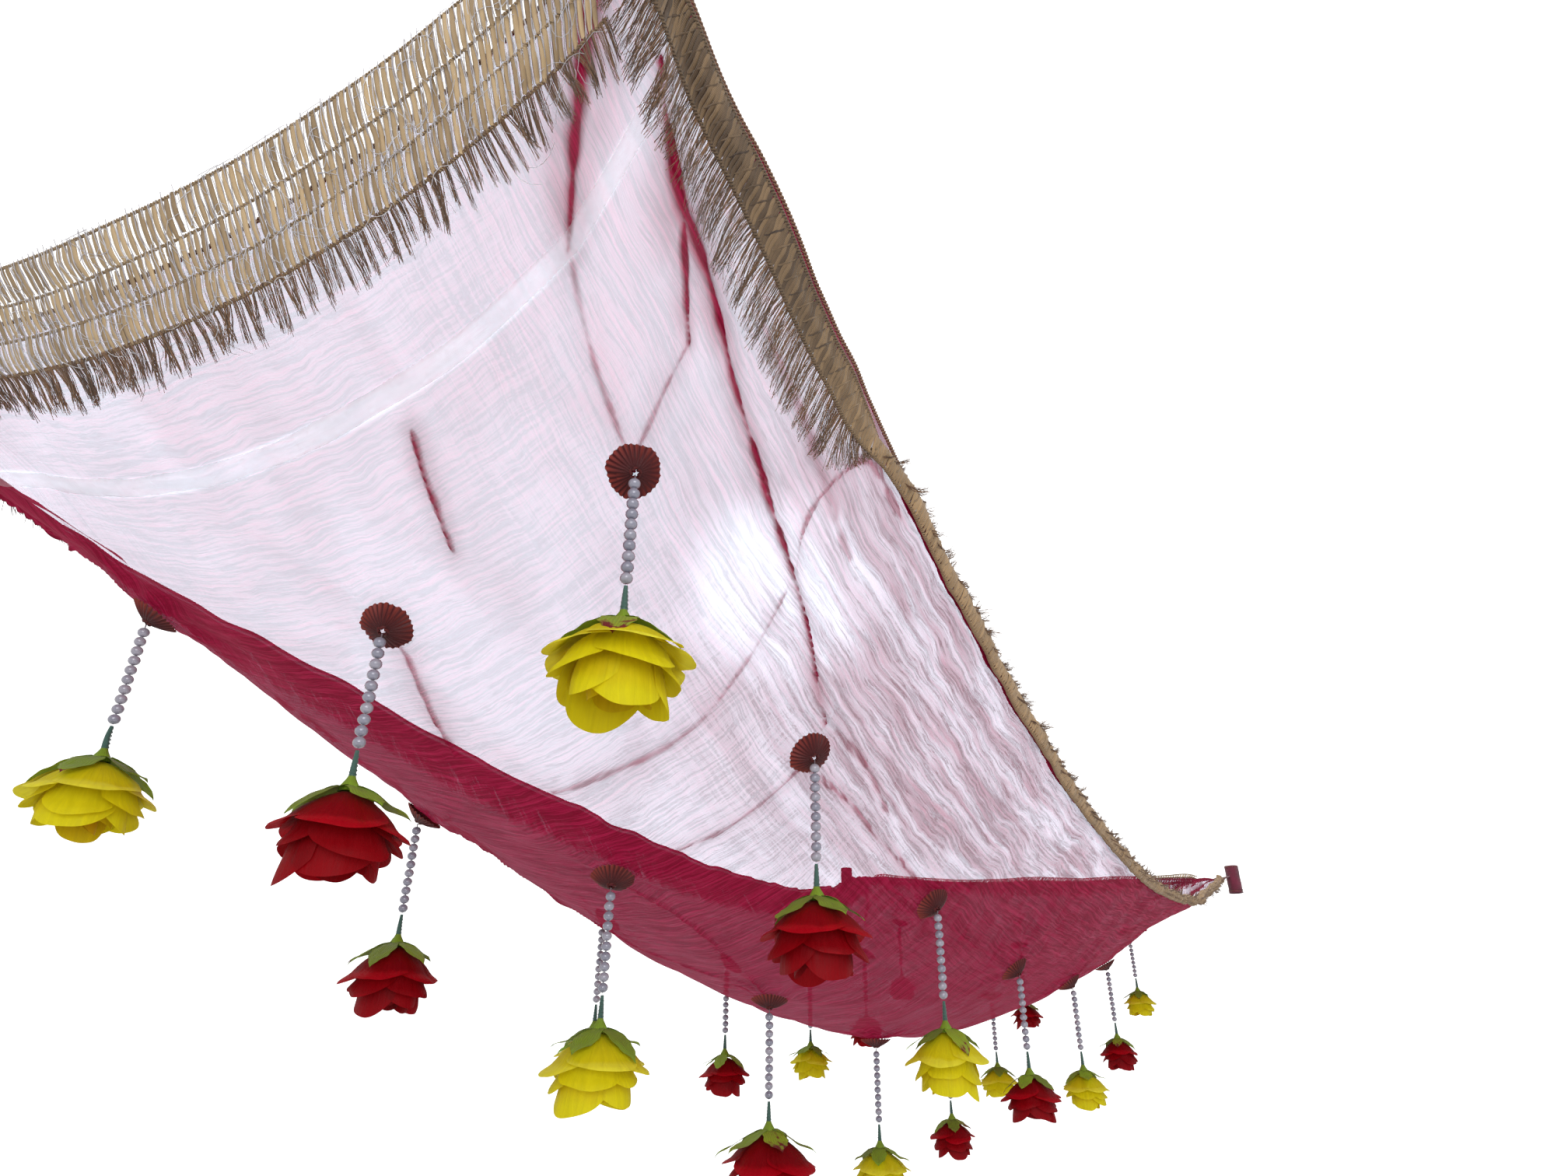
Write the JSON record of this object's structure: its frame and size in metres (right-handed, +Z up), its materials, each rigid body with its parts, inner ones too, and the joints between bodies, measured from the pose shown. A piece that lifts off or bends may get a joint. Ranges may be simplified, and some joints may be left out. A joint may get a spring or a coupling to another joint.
{
  "type": "floral wedding entry canopy",
  "caption": "Sheer cloth canopy held at its four corners, edged with gold braid and fringe, with hanging pearl strings that end in silk roses.",
  "frame": {"origin": "centre of the pole pocket's bore at the near right corner", "axes": "+X along the length of the cloth towards the far end, +Y across it towards the left side, +Z up"},
  "size_m": [2.4765, 0.99, 0.8231],
  "materials": {
    "sheer_cloth": "sheer crinkled weave",
    "white_ribbon": "thin organza",
    "rosette_cloth": "pleated satin",
    "thread": "twisted",
    "pearl_beads": "pearl",
    "yellow_rose": "silk",
    "red_rose": "silk",
    "gold_braid": "metallic thread",
    "gold_fringe": "metallic thread",
    "pocket_cloth": "matt"
  },
  "bodies": {
    "canopy": {"canopy_cloth": "sheer_cloth", "cross_ribbon": "white_ribbon", "rosettes": "rosette_cloth", "thread_knots": "thread", "side_braid_right": "gold_braid", "side_braid_left": "gold_braid", "side_fringe_right": "gold_fringe", "side_fringe_left": "gold_fringe", "end_braid_near": "gold_braid", "end_braid_far": "gold_braid", "end_fringe_near": "gold_fringe", "end_fringe_far": "gold_fringe", "pole_pocket_near_right": "pocket_cloth", "pole_pocket_near_left": "pocket_cloth", "pole_pocket_far_right": "pocket_cloth", "pole_pocket_far_left": "pocket_cloth"},
    "string_a1": {"bead_string_a1": "pearl_beads"},
    "rose_a1": {"rose_a1": "yellow_rose"},
    "string_a2": {"bead_string_a2": "pearl_beads"},
    "rose_a2": {"rose_a2": "red_rose"},
    "string_a3": {"bead_string_a3": "pearl_beads"},
    "rose_a3": {"rose_a3": "yellow_rose"},
    "string_a4": {"bead_string_a4": "pearl_beads"},
    "rose_a4": {"rose_a4": "red_rose"},
    "string_a5": {"bead_string_a5": "pearl_beads"},
    "rose_a5": {"rose_a5": "yellow_rose"},
    "string_a6": {"bead_string_a6": "pearl_beads"},
    "rose_a6": {"rose_a6": "red_rose"},
    "string_a7": {"bead_string_a7": "pearl_beads"},
    "rose_a7": {"rose_a7": "yellow_rose"},
    "string_b1": {"bead_string_b1": "pearl_beads"},
    "rose_b1": {"rose_b1": "red_rose"},
    "string_b2": {"bead_string_b2": "pearl_beads"},
    "rose_b2": {"rose_b2": "yellow_rose"},
    "string_b3": {"bead_string_b3": "pearl_beads"},
    "rose_b3": {"rose_b3": "red_rose"},
    "string_b4": {"bead_string_b4": "pearl_beads"},
    "rose_b4": {"rose_b4": "yellow_rose"},
    "string_b5": {"bead_string_b5": "pearl_beads"},
    "rose_b5": {"rose_b5": "red_rose"},
    "string_b6": {"bead_string_b6": "pearl_beads"},
    "rose_b6": {"rose_b6": "yellow_rose"},
    "string_b7": {"bead_string_b7": "pearl_beads"},
    "rose_b7": {"rose_b7": "red_rose"},
    "string_c1": {"bead_string_c1": "pearl_beads"},
    "rose_c1": {"rose_c1": "yellow_rose"},
    "string_c2": {"bead_string_c2": "pearl_beads"},
    "rose_c2": {"rose_c2": "red_rose"},
    "string_c3": {"bead_string_c3": "pearl_beads"},
    "rose_c3": {"rose_c3": "yellow_rose"},
    "string_c4": {"bead_string_c4": "pearl_beads"},
    "rose_c4": {"rose_c4": "red_rose"},
    "string_c5": {"bead_string_c5": "pearl_beads"},
    "rose_c5": {"rose_c5": "yellow_rose"},
    "string_c6": {"bead_string_c6": "pearl_beads"},
    "rose_c6": {"rose_c6": "red_rose"},
    "string_c7": {"bead_string_c7": "pearl_beads"},
    "rose_c7": {"rose_c7": "yellow_rose"}
  },
  "joints": [
    {"name": "string_swing_a1", "type": "hinge", "parent": "canopy", "child": "string_a1", "pos_m": [0.2046, 0.14339, -0.2705], "axis": [-0.6038, -0.7972, 0], "range_deg": [-30, 30]},
    {"name": "rose_nod_a1", "type": "hinge", "parent": "string_a1", "child": "rose_a1", "pos_m": [0.2046, 0.14339, -0.3539], "axis": [0.7972, -0.6038, 0], "range_deg": [-20, 20]},
    {"name": "string_swing_a2", "type": "hinge", "parent": "canopy", "child": "string_a2", "pos_m": [0.46271, 0.13606, -0.40792], "axis": [-0.4408, -0.8976, 0], "range_deg": [-30, 30]},
    {"name": "rose_nod_a2", "type": "hinge", "parent": "string_a2", "child": "rose_a2", "pos_m": [0.46271, 0.13606, -0.49132], "axis": [0.8976, -0.4408, 0], "range_deg": [-20, 20]},
    {"name": "string_swing_a3", "type": "hinge", "parent": "canopy", "child": "string_a3", "pos_m": [0.73305, 0.13041, -0.50083], "axis": [-0.2842, -0.9588, 0], "range_deg": [-30, 30]},
    {"name": "rose_nod_a3", "type": "hinge", "parent": "string_a3", "child": "rose_a3", "pos_m": [0.73305, 0.13041, -0.58423], "axis": [0.9588, -0.2842, 0], "range_deg": [-20, 20]},
    {"name": "string_swing_a4", "type": "hinge", "parent": "canopy", "child": "string_a4", "pos_m": [1.01565, 0.12646, -0.54929], "axis": [-0.1203, -0.9927, 0], "range_deg": [-30, 30]},
    {"name": "rose_nod_a4", "type": "hinge", "parent": "string_a4", "child": "rose_a4", "pos_m": [1.01565, 0.12646, -0.63269], "axis": [0.9927, -0.1203, 0], "range_deg": [-20, 20]},
    {"name": "string_swing_a5", "type": "hinge", "parent": "canopy", "child": "string_a5", "pos_m": [1.3106, 0.12428, -0.55326], "axis": [0.087, -0.9962, 0], "range_deg": [-30, 30]},
    {"name": "rose_nod_a5", "type": "hinge", "parent": "string_a5", "child": "rose_a5", "pos_m": [1.3106, 0.12428, -0.63666], "axis": [0.9962, 0.087, 0], "range_deg": [-20, 20]},
    {"name": "string_swing_a6", "type": "hinge", "parent": "canopy", "child": "string_a6", "pos_m": [1.61791, 0.12396, -0.51262], "axis": [0.4037, -0.9149, 0], "range_deg": [-30, 30]},
    {"name": "rose_nod_a6", "type": "hinge", "parent": "string_a6", "child": "rose_a6", "pos_m": [1.61791, 0.12396, -0.59602], "axis": [0.9149, 0.4037, 0], "range_deg": [-20, 20]},
    {"name": "string_swing_a7", "type": "hinge", "parent": "canopy", "child": "string_a7", "pos_m": [1.93747, 0.1255, -0.42706], "axis": [0.8316, -0.5553, 0], "range_deg": [-30, 30]},
    {"name": "rose_nod_a7", "type": "hinge", "parent": "string_a7", "child": "rose_a7", "pos_m": [1.93747, 0.1255, -0.51046], "axis": [0.5553, 0.8316, 0], "range_deg": [-20, 20]},
    {"name": "string_swing_b1", "type": "hinge", "parent": "canopy", "child": "string_b1", "pos_m": [0.17694, 0.33471, -0.36043], "axis": [-0.9249, -0.3803, 0], "range_deg": [-30, 30]},
    {"name": "rose_nod_b1", "type": "hinge", "parent": "string_b1", "child": "rose_b1", "pos_m": [0.17694, 0.33471, -0.44383], "axis": [0.3803, -0.9249, 0], "range_deg": [-20, 20]},
    {"name": "string_swing_b2", "type": "hinge", "parent": "canopy", "child": "string_b2", "pos_m": [0.44151, 0.32329, -0.50122], "axis": [-0.9314, -0.364, 0], "range_deg": [-30, 30]},
    {"name": "rose_nod_b2", "type": "hinge", "parent": "string_b2", "child": "rose_b2", "pos_m": [0.44151, 0.32329, -0.58462], "axis": [0.364, -0.9314, 0], "range_deg": [-20, 20]},
    {"name": "string_swing_b3", "type": "hinge", "parent": "canopy", "child": "string_b3", "pos_m": [0.71711, 0.31795, -0.59156], "axis": [-0.9307, -0.3658, 0], "range_deg": [-30, 30]},
    {"name": "rose_nod_b3", "type": "hinge", "parent": "string_b3", "child": "rose_b3", "pos_m": [0.71711, 0.31795, -0.67496], "axis": [0.3658, -0.9307, 0], "range_deg": [-20, 20]},
    {"name": "string_swing_b4", "type": "hinge", "parent": "canopy", "child": "string_b4", "pos_m": [1.00358, 0.31861, -0.63135], "axis": [-0.8387, -0.5445, 0], "range_deg": [-30, 30]},
    {"name": "rose_nod_b4", "type": "hinge", "parent": "string_b4", "child": "rose_b4", "pos_m": [1.00358, 0.31861, -0.71475], "axis": [0.5445, -0.8387, 0], "range_deg": [-20, 20]},
    {"name": "string_swing_b5", "type": "hinge", "parent": "canopy", "child": "string_b5", "pos_m": [1.30073, 0.32525, -0.62061], "axis": [0.9936, 0.1129, 0], "range_deg": [-30, 30]},
    {"name": "rose_nod_b5", "type": "hinge", "parent": "string_b5", "child": "rose_b5", "pos_m": [1.30073, 0.32525, -0.70401], "axis": [-0.1129, 0.9936, 0], "range_deg": [-20, 20]},
    {"name": "string_swing_b6", "type": "hinge", "parent": "canopy", "child": "string_b6", "pos_m": [1.60844, 0.33789, -0.55945], "axis": [0.9834, 0.1816, 0], "range_deg": [-30, 30]},
    {"name": "rose_nod_b6", "type": "hinge", "parent": "string_b6", "child": "rose_b6", "pos_m": [1.60844, 0.33789, -0.64285], "axis": [-0.1816, 0.9834, 0], "range_deg": [-20, 20]},
    {"name": "string_swing_b7", "type": "hinge", "parent": "canopy", "child": "string_b7", "pos_m": [1.92668, 0.35655, -0.44796], "axis": [0.9805, 0.1964, 0], "range_deg": [-30, 30]},
    {"name": "rose_nod_b7", "type": "hinge", "parent": "string_b7", "child": "rose_b7", "pos_m": [1.92668, 0.35655, -0.53136], "axis": [-0.1964, 0.9805, 0], "range_deg": [-20, 20]},
    {"name": "string_swing_c1", "type": "hinge", "parent": "canopy", "child": "string_c1", "pos_m": [0.13811, 0.57181, -0.31954], "axis": [-0.7033, 0.7109, 0], "range_deg": [-30, 30]},
    {"name": "rose_nod_c1", "type": "hinge", "parent": "string_c1", "child": "rose_c1", "pos_m": [0.13811, 0.57181, -0.40294], "axis": [-0.7109, -0.7033, 0], "range_deg": [-20, 20]},
    {"name": "string_swing_c2", "type": "hinge", "parent": "canopy", "child": "string_c2", "pos_m": [0.41691, 0.54755, -0.42923], "axis": [-0.3493, 0.937, 0], "range_deg": [-30, 30]},
    {"name": "rose_nod_c2", "type": "hinge", "parent": "string_c2", "child": "rose_c2", "pos_m": [0.41691, 0.54755, -0.51263], "axis": [-0.937, -0.3493, 0], "range_deg": [-20, 20]},
    {"name": "string_swing_c3", "type": "hinge", "parent": "canopy", "child": "string_c3", "pos_m": [0.70064, 0.536, -0.49968], "axis": [-0.1736, 0.9848, 0], "range_deg": [-30, 30]},
    {"name": "rose_nod_c3", "type": "hinge", "parent": "string_c3", "child": "rose_c3", "pos_m": [0.70064, 0.536, -0.58308], "axis": [-0.9848, -0.1736, 0], "range_deg": [-20, 20]},
    {"name": "string_swing_c4", "type": "hinge", "parent": "canopy", "child": "string_c4", "pos_m": [0.9895, 0.5376, -0.53122], "axis": [-0.0712, 0.9975, 0], "range_deg": [-30, 30]},
    {"name": "rose_nod_c4", "type": "hinge", "parent": "string_c4", "child": "rose_c4", "pos_m": [0.9895, 0.5376, -0.61462], "axis": [-0.9975, -0.0712, 0], "range_deg": [-20, 20]},
    {"name": "string_swing_c5", "type": "hinge", "parent": "canopy", "child": "string_c5", "pos_m": [1.2838, 0.55251, -0.52387], "axis": [0.0312, 0.9995, 0], "range_deg": [-30, 30]},
    {"name": "rose_nod_c5", "type": "hinge", "parent": "string_c5", "child": "rose_c5", "pos_m": [1.2838, 0.55251, -0.60727], "axis": [-0.9995, 0.0312, 0], "range_deg": [-20, 20]},
    {"name": "string_swing_c6", "type": "hinge", "parent": "canopy", "child": "string_c6", "pos_m": [1.58376, 0.58068, -0.47749], "axis": [0.2027, 0.9792, 0], "range_deg": [-30, 30]},
    {"name": "rose_nod_c6", "type": "hinge", "parent": "string_c6", "child": "rose_c6", "pos_m": [1.58376, 0.58068, -0.56089], "axis": [-0.9792, 0.2027, 0], "range_deg": [-20, 20]},
    {"name": "string_swing_c7", "type": "hinge", "parent": "canopy", "child": "string_c7", "pos_m": [1.88948, 0.62202, -0.39173], "axis": [0.5334, 0.8459, 0], "range_deg": [-30, 30]},
    {"name": "rose_nod_c7", "type": "hinge", "parent": "string_c7", "child": "rose_c7", "pos_m": [1.88948, 0.62202, -0.47513], "axis": [-0.8459, 0.5334, 0], "range_deg": [-20, 20]}
  ]
}
